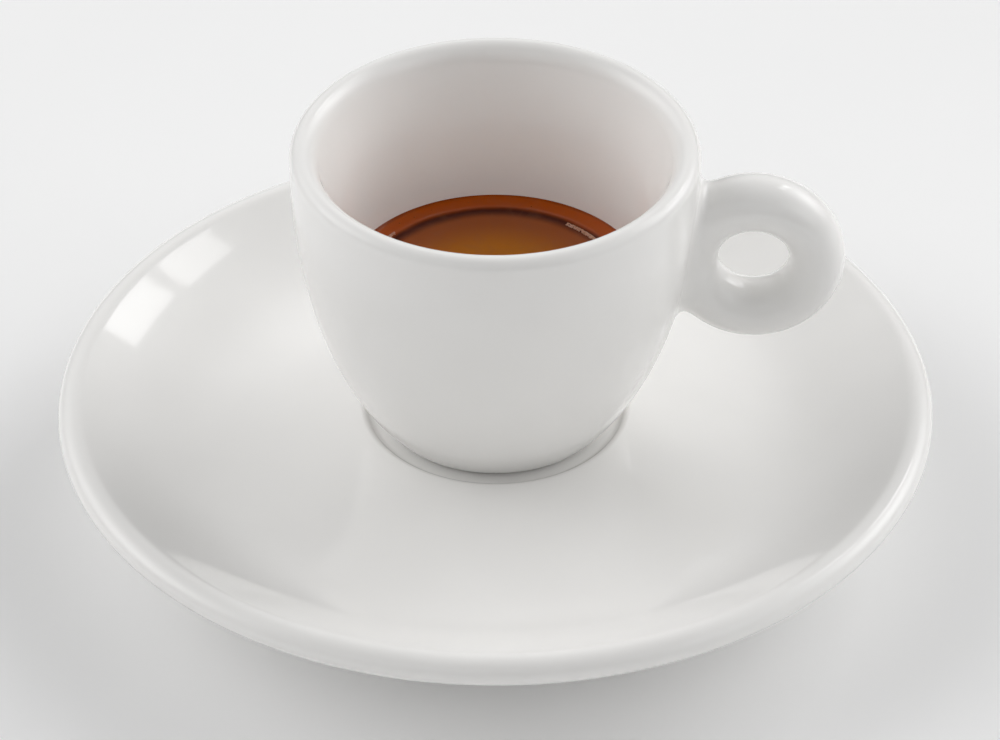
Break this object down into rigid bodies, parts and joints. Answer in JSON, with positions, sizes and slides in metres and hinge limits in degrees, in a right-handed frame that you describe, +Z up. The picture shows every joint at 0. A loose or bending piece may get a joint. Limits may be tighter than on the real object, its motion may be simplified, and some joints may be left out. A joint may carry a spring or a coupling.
{
  "type": "espresso shot in a cup",
  "caption": "Short espresso with crema in a thick white porcelain cup with a ring handle, standing in the shallow well of its round saucer.",
  "frame": {"origin": "centre of the saucer's foot on the surface it stands on", "axes": "+Z up, +X towards the cup's handle, -Y towards the viewer of the picture"},
  "size_m": [0.13, 0.13, 0.064],
  "materials": {
    "saucer_porcelain": "white glazed porcelain, glossy",
    "cup_porcelain": "white glazed porcelain, glossy",
    "espresso": "brown espresso with a thin smooth crema, wet gloss"
  },
  "bodies": {
    "root": {"saucer": "saucer_porcelain", "cup": "cup_porcelain", "espresso": "espresso"}
  },
  "joints": []
}
